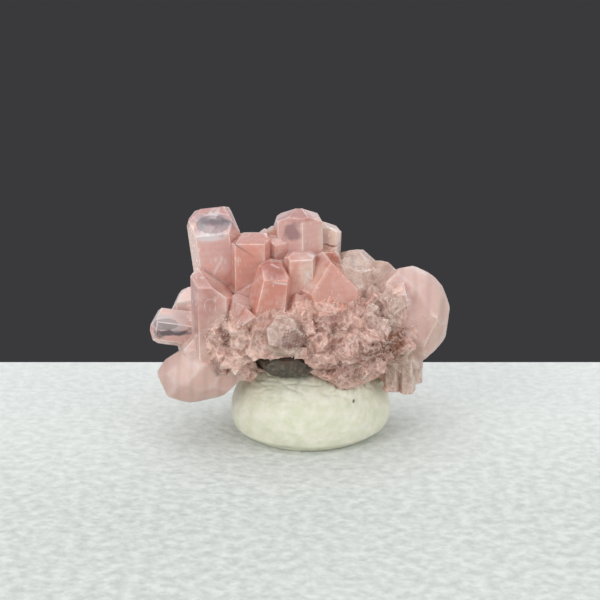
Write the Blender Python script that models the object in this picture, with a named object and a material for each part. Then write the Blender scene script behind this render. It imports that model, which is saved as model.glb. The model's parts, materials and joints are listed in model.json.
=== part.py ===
"""A cobaltoan calcite cluster standing on a pad of mounting putty, as three solids.

calcite_cluster  the pink crystals and the druse they grew from, intergrown in one piece
matrix_rock      the dark scrap of host rock in a pocket under the front of the crystals
putty_pad        the white putty pressed under the specimen, flat where it rests

Units are metres and +Z is up. The front of the specimen faces -Y and its long side lies along X. The
tables are in millimetres. Run with: blender --background --python part.py
"""

import math
import random
from dataclasses import dataclass

import bmesh
import bpy
from mathutils import Matrix, Vector
from mathutils.bvhtree import BVHTree

MM = 0.001

# The putty pad, in millimetres.
PAD_HALF_WIDTH = 6.6  # along X, at its widest
PAD_HALF_DEPTH = 5.9  # along Y, at its widest
PAD_HEIGHT = 6.6  # of the free mound, before the specimen is pressed into it
PAD_CENTRE = (0.7, 0.3)
PAD_WIDEST_AT = 0.27  # height of the widest ring, as a share of PAD_HEIGHT
PAD_FOOT = 0.82  # the resting face's radius over the widest radius
PAD_CROWN = 0.34  # the top ring's radius over the widest radius

PIECE_GAP = 0.15  # between pieces that touch
SINK = 1.2  # how far a crystal's foot runs on below its stated foot, into the mass

# Small crystals of the druse: how many, how big, between what heights, and what places them.
DRUSE_COUNT = 190
DRUSE_SIZE = (0.5, 1.15)
DRUSE_HEIGHTS = (6.3, 12.2)
DRUSE_SEED = 7
DRUSE_STRETCH = (1.0, 1.6)  # a rhomb's length along its long corner, over that of an even cube
MATRIX_CLEARING = 1.45  # no rhomb grows within this many of the matrix scrap's radii
FACE_JITTER = 0.35  # how far a lump's faces turn from an even spiral, in radians

FRONT, RIGHT, BACK, LEFT = 0, 90, 180, 270  # turns about a crystal's own axis, in degrees
RHOMB = 45  # the usual tilt of a cap face's normal from the crystal's axis, in degrees


@dataclass(frozen=True)
class Prism:
    """A six-sided crystal and the faces that end it.

    Each cut is (turn, tilt, drop): its normal leans tilt degrees from the crystal's axis towards turn,
    and it meets the crystal's side drop below the tip, or runs through the tip when drop is None."""

    foot: tuple
    tip: tuple
    width: float
    depth: float
    twist: float = 0.0
    flare: float = 1.0  # width at the foot over width at the tip
    front: float = 0.5  # the front face's share of the width; a regular hexagon has half
    cuts: tuple = ((FRONT, RHOMB, None), (120, RHOMB, None), (240, RHOMB, None))


@dataclass(frozen=True)
class Lump:
    """A stout many-faced crystal or scrap: an ellipsoid worked down to flat faces."""

    centre: tuple
    radii: tuple
    faces: int
    seed: int
    lean: float = 0.0  # turn about Y in degrees, which lowers the +X end
    wear: float = 0.12  # how far faces may lie inside the ellipsoid, as a share of its radius


@dataclass(frozen=True)
class Rhomb:
    """A small cleavage rhomb of the druse, its long corner pointing along."""

    centre: Vector
    along: Vector
    size: float
    spin: float
    stretch: float


TALL_CRYSTALS = {
    "left_tower": Prism(
        (-6.2, 0.3, 9.0), (-7.4, 0.1, 19.1), 4.2, 3.4, 0.0, 1.0, 0.63,
        ((FRONT, 42, 1.7), (LEFT, 33, 0.85), (LEFT, 67, 1.25), (RIGHT, 59, 1.64), (RIGHT, 69, 2.1),
         (BACK, 20, 0.5)),
    ),
    "left_front": Prism(
        (-7.1, -2.9, 8.8), (-7.15, -3.0, 15.1), 3.5, 2.8, 0.0, 1.04, 0.62,
        ((RIGHT, 37, 2.5), (LEFT, 40, 0.25), (FRONT, 22, 1.2)),
    ),
    "broad_middle": Prism(
        (-4.2, -1.1, 9.0), (-4.2, -1.0, 17.3), 3.35, 2.8, 0.0, 1.0, 0.7,
        ((FRONT, 9, 0.45), (LEFT, 30, 0.75), (RIGHT, 24, 0.4), (BACK, 25, 0.3)),
    ),
    "splinter": Prism(
        (-2.6, 0.9, 10.0), (-2.5, 1.0, 17.3), 1.2, 1.2, 12.0, 1.0, 0.5,
        ((LEFT, 35, 0.4), (RIGHT, 12, 0.1)),
    ),
    "wedge": Prism(
        (-2.2, -0.3, 10.0), (-2.05, -0.3, 16.9), 2.1, 2.2, 20.0, 1.0, 0.5,
        ((FRONT, 35, 0.4), (LEFT, 20, 0.2), (RIGHT, 30, 0.3)),
    ),
    "middle_tower": Prism(
        (-0.2, 0.3, 9.0), (-0.4, 0.6, 18.95), 4.2, 3.7, -20.0, 1.0, 0.5,
        ((FRONT, 8, 0.3), (LEFT, 25, 0.9), (LEFT, 70, 1.8), (RIGHT, 28, 0.95), (BACK, 30, 0.9)),
    ),
    "middle_front": Prism(
        (-3.15, -3.3, 9.4), (-2.05, -3.1, 15.5), 2.6, 2.3, 6.0, 1.7, 0.62,
        ((FRONT, RHOMB, 0.9), (LEFT, 24, 0.35), (RIGHT, 46, 0.95)),
    ),
    "behind_right": Prism(
        (1.9, 2.0, 10.0), (2.15, 2.1, 17.45), 2.15, 2.2, 0.0, 1.0, 0.6,
        ((RIGHT, 27, 0.75), (FRONT, 12, 0.2), (BACK, 30, 0.5)),
    ),
    "right_shoulder": Prism(
        (2.4, 0.9, 9.6), (2.2, 1.2, 15.5), 2.5, 2.6, 0.0, 1.35, 0.7,
        ((BACK, 16, 0.2), (RIGHT, 62, 1.4)),
    ),
    "between": Prism(
        (-0.2, -2.4, 9.4), (-0.2, -2.0, 16.1), 2.5, 2.3, 4.0, 1.15, 0.7,
        ((FRONT, 24, 0.4), (LEFT, 30, 0.4), (RIGHT, 20, 0.2)),
    ),
    "right_point": Prism(
        (2.3, -1.1, 9.6), (1.6, -1.5, 16.0), 6.3, 6.4, 12.0, 1.0, 0.5,
        ((22, 65, 4.2), (318, 38, None), (100, 53, None), (190, 40, None)),
    ),
    "side_upper": Prism(
        (-8.8, 0.6, 8.4), (-9.6, 0.6, 12.3), 3.6, 2.6, 0.0, 1.0, 0.5,
        ((LEFT, 50, 1.9), (LEFT, 24, 0.9), (FRONT, 30, 0.7), (BACK, 30, 0.7)),
    ),
    "side_lower": Prism(
        (-7.0, -0.9, 8.9), (-12.38, -1.0, 9.7), 3.05, 2.7, 0.0, 1.06, 0.5,
        ((RIGHT, 24, 0.7), (LEFT, 35, 0.7), (FRONT, 24, 0.55), (BACK, 30, 0.6)),
    ),
    "brown_point": Prism(
        (6.9, -1.9, 8.6), (7.6, -2.4, 13.75), 2.9, 2.6, 10.0, 1.1, 0.5,
        ((LEFT, 46, 1.7), (RIGHT, 66, 2.2), (FRONT, 30, 0.6)),
    ),
    "foot_column_left": Prism(
        (7.2, -2.0, 8.0), (7.3, -2.2, 4.4), 1.6, 1.7, 8.0, 1.0, 0.5, ((FRONT, 14, 0.1),),
    ),
    "foot_column_middle": Prism(
        (8.4, -2.0, 8.2), (8.5, -2.1, 4.3), 1.5, 1.8, 0.0, 1.0, 0.5, ((LEFT, 18, 0.1),),
    ),
    "foot_column_right": Prism(
        (9.1, -1.1, 8.0), (9.2, -1.1, 4.7), 1.4, 1.7, 20.0, 1.0, 0.5, ((FRONT, 10, 0.1),),
    ),
    "back_tower": Prism(
        (-2.4, 3.2, 9.0), (-3.2, 4.6, 16.3), 3.2, 3.0, 10.0,
    ),
    "back_left": Prism(
        (-5.6, 2.8, 8.6), (-7.4, 4.5, 14.3), 2.8, 2.5, 22.0,
    ),
    "back_middle": Prism(
        (1.0, 3.2, 8.8), (1.3, 5.4, 14.4), 3.3, 3.0, 5.0, 1.05, 0.5,
        ((FRONT, RHOMB, None), (120, 40, None), (240, 48, None)),
    ),
    "back_right": Prism(
        (4.4, 2.6, 8.4), (5.9, 4.5, 12.6), 2.6, 2.4, 14.0,
    ),
    "back_low": Prism(
        (-1.5, 3.2, 8.6), (-1.9, 7.1, 10.4), 2.6, 2.3,
    ),
    "back_low_left": Prism(
        (-4.8, 2.6, 8.2), (-7.3, 5.9, 9.1), 2.3, 2.1, 18.0,
    ),
    "back_low_right": Prism(
        (3.6, 2.8, 8.2), (5.4, 6.3, 9.4), 2.4, 2.2, 8.0,
    ),
}

STOUT_CRYSTALS = {
    "lower_left": Lump((-8.1, -2.3, 6.2), (3.55, 2.6, 2.35), 30, 5, -16.0, 0.06),
    "lower_left_root": Lump((-6.9, -1.6, 8.0), (3.0, 2.6, 2.4), 20, 9),
    "right_disc": Lump((8.7, -0.4, 10.35), (3.3, 2.8, 4.0), 46, 3, 0.0, 0.04),
    "front_ball": Lump((-1.3, -4.7, 10.2), (1.8, 1.8, 1.75), 24, 14, 0.0, 0.08),
    "front_chip": Lump((1.7, -4.5, 8.2), (1.8, 1.2, 1.0), 16, 4),
    "white_crust_left": Lump((4.1, 2.0, 12.7), (2.2, 2.2, 2.4), 18, 21, 20.0),
    "white_crust_right": Lump((6.1, 1.5, 11.9), (2.3, 2.2, 2.3), 18, 22, 30.0),
    "column_root": Lump((8.0, -0.9, 6.7), (1.8, 1.9, 2.0), 16, 31, 0.0, 0.1),
}

DRUSE_MASS = {
    "left": Lump((-5.2, 0.2, 8.4), (4.2, 4.3, 3.0), 22, 41),
    "front_left": Lump((-5.3, -2.9, 8.9), (2.5, 2.1, 2.3), 20, 47),
    "middle": Lump((-0.6, -0.3, 9.0), (4.6, 5.3, 3.0), 24, 42),
    "core": Lump((-1.4, -0.3, 12.3), (5.4, 3.0, 3.0), 24, 48),
    "front_gap_left": Lump((-4.9, -2.9, 10.7), (1.7, 1.8, 2.1), 16, 52),
    "front_gap_middle": Lump((0.2, -3.0, 10.9), (1.9, 1.9, 2.1), 18, 53),
    "front_gap_right": Lump((3.2, -3.1, 10.1), (2.7, 2.3, 2.2), 20, 54),
    "core_right": Lump((3.4, 0.6, 11.4), (3.4, 2.8, 3.2), 22, 49),
    "right": Lump((4.4, -0.6, 8.8), (4.3, 4.9, 3.9), 24, 43),
    "far_right": Lump((7.0, 0.3, 8.2), (3.0, 3.4, 3.4), 20, 44),
    "under_left": Lump((-4.2, -1.2, 7.4), (2.6, 2.6, 1.6), 16, 45),
    "under_right": Lump((3.4, -1.6, 6.4), (3.0, 2.8, 1.7), 16, 46),
}

MATRIX_SCRAP = Lump((-1.4, -3.0, 7.4), (2.3, 2.5, 1.3), 20, 51)


def clear_scene():
    """Empties the scene of whatever it held."""
    for thing in list(bpy.data.objects):
        bpy.data.objects.remove(thing)


def finish(name, colour, roughness):
    """A plain dielectric surface in one colour."""
    made = bpy.data.materials.new(name)
    made.use_nodes = True
    shader = made.node_tree.nodes["Principled BSDF"]
    shader.inputs["Base Color"].default_value = (*colour, 1)
    shader.inputs["Roughness"].default_value = roughness
    shader.inputs["Metallic"].default_value = 0.0
    return made


def keep_inside(solid, point, normal):
    """Cuts the solid by a plane, keeps what lies behind it and closes the cut with one face."""
    everything = solid.verts[:] + solid.edges[:] + solid.faces[:]
    cut = bmesh.ops.bisect_plane(
        solid, geom=everything, dist=1e-7, plane_co=point, plane_no=normal, clear_outer=True
    )
    rim = [piece for piece in cut["geom_cut"] if isinstance(piece, bmesh.types.BMEdge)]
    if rim:
        bmesh.ops.contextual_create(solid, geom=rim)


def as_object(name, solid):
    """A closed bmesh in millimetres as a named object in metres."""
    bmesh.ops.transform(solid, matrix=Matrix.Scale(MM, 4), verts=solid.verts)
    bmesh.ops.dissolve_limit(
        solid, angle_limit=math.radians(0.05), verts=solid.verts[:], edges=solid.edges[:]
    )
    bmesh.ops.recalc_face_normals(solid, faces=solid.faces[:])
    mesh = bpy.data.meshes.new(name)
    solid.to_mesh(mesh)
    solid.free()
    thing = bpy.data.objects.new(name, mesh)
    bpy.context.scene.collection.objects.link(thing)
    return thing


def axis_frame(foot, tip):
    """A matrix whose Z runs from foot to tip, and whose -Y is as near the front as it can be."""
    along = (tip - foot).normalized()
    front = Vector((0, -1, 0))
    front = (front - along * front.dot(along)).normalized()
    right = along.cross(front)
    return Matrix.Translation(foot) @ Matrix((right, -front, along)).transposed().to_4x4()


def towards(turn):
    """The level direction of a turn about the axis: 0 is -Y, the front, and 90 is +X, the right."""
    return Vector((math.sin(math.radians(turn)), -math.cos(math.radians(turn)), 0))


def hexagon(prism, swell):
    """The corners of the crystal's cross-section, swollen by a factor."""
    half, deep = prism.width / 2 * swell, prism.depth / 2 * swell
    narrow = half * prism.front
    corners = ((half, 0), (narrow, deep), (-narrow, deep), (-half, 0), (-narrow, -deep), (narrow, -deep))
    spin = Matrix.Rotation(math.radians(prism.twist), 3, "Z")
    return [spin @ Vector((x, y, 0)) for x, y in corners]


def prism_solid(prism):
    """The crystal as a closed bmesh, in millimetres."""
    foot, tip = Vector(prism.foot), Vector(prism.tip)
    length = (tip - foot).length
    solid = bmesh.new()
    low, high = (
        [solid.verts.new((*corner.xy, height)) for corner in hexagon(prism, swell)]
        for height, swell in ((-SINK, prism.flare), (length + 0.5, 1.0))
    )
    solid.faces.new(reversed(low))
    solid.faces.new(high)
    for side in range(6):
        after = (side + 1) % 6
        solid.faces.new((low[side], low[after], high[after], high[side]))
    for turn, tilt, drop in prism.cuts:
        level, lean = towards(turn), math.radians(tilt)
        reach = math.hypot(level.x * prism.width / 2, level.y * prism.depth / 2)
        on_axis = 0.0 if drop is None else reach * math.tan(lean) - drop
        normal = level * math.sin(lean) + Vector((0, 0, math.cos(lean)))
        keep_inside(solid, Vector((0, 0, length + on_axis)), normal)
    keep_inside(solid, Vector((0, 0, length)), Vector((0, 0, 1)))
    bmesh.ops.transform(solid, matrix=axis_frame(foot, tip), verts=solid.verts)
    return solid


def lump_solid(lump, grow=0.0):
    """The faced ellipsoid as a closed bmesh, in millimetres, with every face set out by grow."""
    draw = random.Random(lump.seed)
    solid = bmesh.new()
    bmesh.ops.create_cube(solid, size=4 * max(lump.radii))
    golden = math.pi * (3 - math.sqrt(5))
    for face in range(lump.faces):
        height = 1 - (2 * face + 1) / lump.faces
        around = golden * face + draw.uniform(-FACE_JITTER, FACE_JITTER)
        flat = math.sqrt(1 - height * height)
        out = Vector((flat * math.cos(around), flat * math.sin(around), height))
        normal = Vector([o / r for o, r in zip(out, lump.radii)]).normalized()
        reach = 1 - lump.wear * draw.random()
        point = Vector([o * r * reach for o, r in zip(out, lump.radii)]) + normal * grow
        keep_inside(solid, point, normal)
    place = Matrix.Translation(lump.centre) @ Matrix.Rotation(math.radians(lump.lean), 4, "Y")
    bmesh.ops.transform(solid, matrix=place, verts=solid.verts)
    return solid


def rhomb_solid(rhomb, grow=0.0):
    """The rhomb as a closed bmesh, in millimetres, with every face set out by at least grow."""
    solid = bmesh.new()
    bmesh.ops.create_cube(solid, size=rhomb.size + 2 * grow)
    corner_up = Vector((1, 1, 1)).rotation_difference(Vector((0, 0, 1))).to_matrix().to_4x4()
    lengthen = Matrix.Scale(rhomb.stretch, 4, Vector((0, 0, 1)))
    aim = Vector((0, 0, 1)).rotation_difference(rhomb.along).to_matrix().to_4x4()
    turn = aim @ Matrix.Rotation(rhomb.spin, 4, "Z")
    place = Matrix.Translation(rhomb.centre) @ turn @ lengthen @ corner_up
    bmesh.ops.transform(solid, matrix=place, verts=solid.verts)
    return solid


def beside_matrix(place):
    """Whether a point is so near the matrix scrap that a rhomb there would hide it."""
    offsets = [(p - c) / r for p, c, r in zip(place, MATRIX_SCRAP.centre, MATRIX_SCRAP.radii)]
    return math.hypot(*offsets) < MATRIX_CLEARING


def first_hit(trees, start, direction):
    """What a ray meets first: the distance, the place, the normal and whether it is druse."""
    hits = []
    for is_druse, tree in trees:
        place, normal, _, distance = tree.ray_cast(start, direction)
        if place is not None:
            hits.append((distance, place, normal, is_druse))
    return min(hits, key=lambda hit: hit[0], default=None)


def grow_druse():
    """Small rhombs that stand out of the druse wherever it shows, pointing roughly outwards."""
    draw = random.Random(DRUSE_SEED)
    trees = []
    for mass in DRUSE_MASS.values():
        trees.append((True, BVHTree.FromBMesh(lump_solid(mass))))
    for lump in STOUT_CRYSTALS.values():
        trees.append((False, BVHTree.FromBMesh(lump_solid(lump))))
    for prism in TALL_CRYSTALS.values():
        trees.append((False, BVHTree.FromBMesh(prism_solid(prism))))
    lowest, highest = DRUSE_HEIGHTS
    made = []
    while len(made) < DRUSE_COUNT:
        mass = draw.choice(list(DRUSE_MASS.values()))
        out = Vector((draw.gauss(0, 1), draw.gauss(0, 1), draw.gauss(0, 0.8))).normalized()
        hit = first_hit(trees, Vector(mass.centre) + out * 20, -out)
        lean = Vector([draw.gauss(0, 0.25) for _ in range(3)])
        size, stretch = draw.uniform(*DRUSE_SIZE), draw.uniform(*DRUSE_STRETCH)
        spin = draw.uniform(0, math.tau)
        if hit is None:
            continue
        place, normal, is_druse = hit[1:]
        if is_druse and lowest < place.z < highest and not beside_matrix(place):
            made.append(Rhomb(place, (normal + lean).normalized(), size, spin, stretch))
    return made


def combine(target, others, operation):
    """Joins or cuts the target by every other object with an exact Boolean, then drops the others."""
    group = bpy.data.collections.new("operands")
    bpy.context.scene.collection.children.link(group)
    for other in others:
        group.objects.link(other)
    modifier = target.modifiers.new(operation.lower(), "BOOLEAN")
    modifier.operation = operation
    modifier.solver = "EXACT"
    modifier.operand_type = "COLLECTION"
    modifier.collection = group
    graph = bpy.context.evaluated_depsgraph_get()
    made = bpy.data.meshes.new_from_object(target.evaluated_get(graph))
    target.modifiers.clear()
    target.data = made
    for other in others:
        bpy.data.objects.remove(other)
    bpy.data.collections.remove(group)


def body_of(seed, unseen):
    """Every vertex joined to the seed by edges, taken out of the unseen ones."""
    body, waiting = [seed], [seed]
    while waiting:
        for edge in waiting.pop().link_edges:
            for vert in edge.verts:
                if vert in unseen:
                    unseen.remove(vert)
                    body.append(vert)
                    waiting.append(vert)
    return body


def keep_largest_body(thing):
    """Drops any loose scrap that a cut has left."""
    solid = bmesh.new()
    solid.from_mesh(thing.data)
    unseen = set(solid.verts)
    bodies = []
    while unseen:
        bodies.append(body_of(unseen.pop(), unseen))
    bodies.sort(key=len)
    scraps = [vert for body in bodies[:-1] for vert in body]
    bmesh.ops.delete(solid, geom=scraps, context="VERTS")
    solid.to_mesh(thing.data)
    solid.free()


def make_calcite(druse):
    """Every crystal and the druse mass, joined in one solid, with a pocket for the matrix."""
    crystals = [as_object(name, prism_solid(prism)) for name, prism in TALL_CRYSTALS.items()]
    crystals += [as_object(name, lump_solid(lump)) for name, lump in STOUT_CRYSTALS.items()]
    crystals += [as_object(name, lump_solid(lump)) for name, lump in DRUSE_MASS.items()]
    crystals += [as_object("rhomb", rhomb_solid(rhomb)) for rhomb in druse]
    calcite = crystals.pop()
    calcite.name = "calcite_cluster"
    combine(calcite, crystals, "UNION")
    combine(calcite, [as_object("pocket", lump_solid(MATRIX_SCRAP, PIECE_GAP))], "DIFFERENCE")
    keep_largest_body(calcite)
    calcite.data.materials.clear()
    calcite.data.materials.append(finish("pink_calcite", (0.80, 0.48, 0.43), 0.2))
    return calcite


def make_matrix():
    """The scrap of dark host rock under the front."""
    rock = as_object("matrix_rock", lump_solid(MATRIX_SCRAP))
    rock.data.materials.append(finish("dark_rock", (0.055, 0.048, 0.042), 0.8))
    return rock


def pad_ring(height):
    """The mound's radius at a share of its height, over its widest radius."""
    if height < PAD_WIDEST_AT:
        rise, narrowest = 1 - height / PAD_WIDEST_AT, PAD_FOOT
    else:
        rise, narrowest = (height - PAD_WIDEST_AT) / (1 - PAD_WIDEST_AT), PAD_CROWN
    return narrowest + (1 - narrowest) * math.sqrt(1 - rise * rise)


def make_pad(druse):
    """The putty: a round-sided mound that keeps the print of what is pressed into its top."""
    around, rows = 40, 10
    solid = bmesh.new()
    rings = []
    for row in range(rows + 1):
        height = row / rows
        ring = []
        for step in range(around):
            angle = math.tau * step / around
            lobes = 1 + 0.03 * math.sin(2 * angle + 0.6) + 0.015 * math.sin(3 * angle)
            x = PAD_CENTRE[0] + PAD_HALF_WIDTH * pad_ring(height) * lobes * math.cos(angle)
            y = PAD_CENTRE[1] + PAD_HALF_DEPTH * pad_ring(height) * lobes * math.sin(angle)
            ring.append(solid.verts.new((x, y, PAD_HEIGHT * height)))
        rings.append(ring)
    solid.faces.new(reversed(rings[0]))
    solid.faces.new(rings[-1])
    for low, high in zip(rings, rings[1:]):
        for step in range(around):
            after = (step + 1) % around
            solid.faces.new((low[step], low[after], high[after], high[step]))
    pad = as_object("putty_pad", solid)
    lumps = [*STOUT_CRYSTALS.values(), *DRUSE_MASS.values(), MATRIX_SCRAP]
    prints = [as_object("print", lump_solid(lump, PIECE_GAP)) for lump in lumps]
    low = [rhomb for rhomb in druse if rhomb.centre.z < PAD_HEIGHT + 2 * DRUSE_SIZE[1]]
    prints += [as_object("print", rhomb_solid(rhomb, PIECE_GAP)) for rhomb in low]
    combine(pad, prints, "DIFFERENCE")
    keep_largest_body(pad)
    pad.data.materials.clear()
    pad.data.materials.append(finish("white_putty", (0.78, 0.76, 0.66), 0.6))
    return pad


def centre_on_origin(things):
    """Moves the pieces together so that the origin is the middle of their box's underside."""
    corners = [vert.co for thing in things for vert in thing.data.vertices]
    low = Vector([min(corner[i] for corner in corners) for i in range(3)])
    high = Vector([max(corner[i] for corner in corners) for i in range(3)])
    shift = Matrix.Translation((-(low.x + high.x) / 2, -(low.y + high.y) / 2, -low.z))
    for thing in things:
        thing.data.transform(shift)


def main():
    clear_scene()
    druse = grow_druse()
    centre_on_origin([make_calcite(druse), make_matrix(), make_pad(druse)])


main()
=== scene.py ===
"""Looks for the cobaltoan calcite cluster: crystals, druse, host rock and putty, on a pale floor.

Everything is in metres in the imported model's frame: +Z up, the display side towards -Y. Lengths in the
tables below are in millimetres, and MM turns them to metres where they are used.
"""

from __future__ import annotations

import json
import logging
import math
from dataclasses import dataclass, field
from enum import Enum
from itertools import compress

import bmesh
import bpy
import numpy as np
from mathutils import Matrix, Vector, noise
from mathutils.bvhtree import BVHTree
from mathutils.kdtree import KDTree

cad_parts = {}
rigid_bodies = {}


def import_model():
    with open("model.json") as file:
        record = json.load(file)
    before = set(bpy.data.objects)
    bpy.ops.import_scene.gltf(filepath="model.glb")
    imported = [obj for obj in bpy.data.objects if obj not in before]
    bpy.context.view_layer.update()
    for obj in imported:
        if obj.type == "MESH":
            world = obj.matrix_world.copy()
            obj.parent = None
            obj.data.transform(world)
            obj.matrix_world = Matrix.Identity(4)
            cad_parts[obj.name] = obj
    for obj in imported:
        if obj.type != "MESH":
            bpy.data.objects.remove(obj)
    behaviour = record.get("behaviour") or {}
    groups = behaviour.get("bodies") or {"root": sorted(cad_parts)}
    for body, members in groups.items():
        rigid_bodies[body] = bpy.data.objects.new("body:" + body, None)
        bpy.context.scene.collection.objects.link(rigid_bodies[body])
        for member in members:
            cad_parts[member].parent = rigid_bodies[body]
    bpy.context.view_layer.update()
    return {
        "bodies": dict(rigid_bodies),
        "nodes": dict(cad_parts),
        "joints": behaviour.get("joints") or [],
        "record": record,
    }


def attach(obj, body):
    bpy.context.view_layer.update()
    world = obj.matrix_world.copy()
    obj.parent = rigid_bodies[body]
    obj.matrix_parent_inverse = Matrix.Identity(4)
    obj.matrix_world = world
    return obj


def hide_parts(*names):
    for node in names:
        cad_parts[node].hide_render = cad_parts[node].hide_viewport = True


MM = 0.001
ROOT = "root"
CALCITE_IOR = 1.55  # between calcite's ordinary 1.66 and extraordinary 1.49
LOG = logging.getLogger("cluster")

Triple = tuple[float, float, float]
Tree = bpy.types.NodeTree
Socket = bpy.types.NodeSocket


def linear(colour: str) -> tuple[float, float, float, float]:
    """Turns an sRGB hex colour into linear values.

    Args:
        colour: The colour as "#rrggbb".

    Returns:
        Linear red, green and blue, and an alpha of 1.
    """
    channels = [int(colour[i : i + 2], 16) / 255 for i in (1, 3, 5)]
    return (*(c / 12.92 if c <= 0.04045 else ((c + 0.055) / 1.055) ** 2.4 for c in channels), 1.0)


def millimetres(values: Triple) -> Vector:
    """Turns a place or size in millimetres into metres."""
    return Vector(values) * MM


def add(tree: bpy.types.NodeTree, kind: str, links: dict | None = None, **settings) -> bpy.types.Node:
    """Adds one node with its settings, values and links.

    Args:
        tree: The node tree to add to.
        kind: The node's type name.
        links: Input name or number to a value, or to the output socket that feeds it.
        **settings: Properties of the node itself.

    Returns:
        The new node.
    """
    node = tree.nodes.new(kind)
    for name, value in settings.items():
        setattr(node, name, value)
    for name, value in (links or {}).items():
        if isinstance(value, bpy.types.NodeSocket):
            tree.links.new(value, node.inputs[name])
        else:
            node.inputs[name].default_value = value
    return node


def new_material(name: str, **sockets) -> tuple[bpy.types.Material, bpy.types.NodeTree, bpy.types.Node]:
    """Starts a material on a Principled shader.

    Args:
        name: What the finish is.
        **sockets: Plain values for the shader, with underscores for the spaces in a socket's name.

    Returns:
        The material, its tree and its shader.
    """
    made = bpy.data.materials.new(name)
    made.use_nodes = True
    shader = made.node_tree.nodes["Principled BSDF"]
    for socket, value in sockets.items():
        shader.inputs[socket.replace("_", " ")].default_value = value
    return made, made.node_tree, shader


def link_piece(name: str, mesh: bpy.types.Mesh) -> bpy.types.Object:
    """Puts a mesh into the scene as an object at the origin.

    Args:
        name: The piece's name.
        mesh: Its mesh, with its place in its vertices.

    Returns:
        The object.
    """
    piece = bpy.data.objects.new(name, mesh)
    bpy.context.scene.collection.objects.link(piece)
    return piece


def merged_copy(frame: dict, node: str) -> bmesh.types.BMesh:
    """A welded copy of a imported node's solid, with its flat faces joined up again.

    Args:
        node: The node's name.

    Returns:
        The copy, which the caller frees.
    """
    solid = bmesh.new()
    solid.from_mesh(frame["nodes"][node].data)
    bmesh.ops.remove_doubles(solid, verts=solid.verts, dist=1e-3 * MM)
    flat = math.radians(0.5)
    bmesh.ops.dissolve_limit(solid, angle_limit=flat, verts=solid.verts, edges=solid.edges)
    return solid


def threads(tree: Tree, place: Socket, gap: float, width: float) -> Socket:
    """Thin wandering lines, which run beside one another like the edges of growth steps.

    Args:
        tree: The material's tree.
        place: The position to read.
        gap: How far apart the lines run, in millimetres.
        width: The share of the gap that a line takes.

    Returns:
        A socket that is 1 on the lines and 0 away from them.
    """
    step = 0.06
    values = {"Vector": place, "Scale": 0.16 / (gap * MM), "Detail": 3.0, "Distortion": 0.6}
    level = add(tree, "ShaderNodeTexNoise", values).outputs[0]
    folded = add(tree, "ShaderNodeMath", {0: level, 1: step}, operation="PINGPONG").outputs[0]
    span = {"Value": folded, "From Min": step * width, "From Max": 0.0}
    return add(tree, "ShaderNodeMapRange", span).outputs[0]


@dataclass(frozen=True)
class Zone:
    """A soft-edged ellipsoid of colour in the crystals, in millimetres."""

    centre: Triple
    radii: Triple
    colour: str
    strength: float = 1.0
    softness: float = 0.5  # the share of the radius over which the colour fades
    over: bool = False  # painted over the milky clouds, not under them

    def tint(self, tree: Tree, place: Socket, colour: Socket, share: float = 1.0) -> Socket:
        """Lays this zone's colour over another.

        Args:
            tree: The material's tree.
            place: The position to read.
            colour: The colour so far.
            share: How much of the zone's strength to use.

        Returns:
            The socket of the new colour.
        """
        offset = add(tree, "ShaderNodeVectorMath", {0: place, 1: millimetres(self.centre)}, operation="SUBTRACT")
        shares = add(
            tree, "ShaderNodeVectorMath", {0: offset.outputs[0], 1: millimetres(self.radii)}, operation="DIVIDE"
        )
        far = add(tree, "ShaderNodeVectorMath", {0: shares.outputs[0]}, operation="LENGTH")
        limits = {"From Min": 1 + self.softness / 2, "From Max": 1 - self.softness / 2}
        limits |= {"To Max": self.strength * share}
        cover = add(
            tree,
            "ShaderNodeMapRange",
            {"Value": far.outputs["Value"], **limits},
            interpolation_type="SMOOTHSTEP",
        )
        blend = {0: cover.outputs[0], 6: colour, 7: linear(self.colour)}
        return add(tree, "ShaderNodeMix", blend, data_type="RGBA").outputs[2]


class Surface(Enum):
    """The kinds of calcite surface; the value is the material slot."""

    MILKY = 0
    CLEAR = 1
    FROSTED = 2
    DRUSE = 3
    ETCHED = 4
    # Painted light: faces made lighter to stand in for the light on them, and the chamfer faces as painted
    # highlights.
    PALE = 5
    BROKEN = 6


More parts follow.
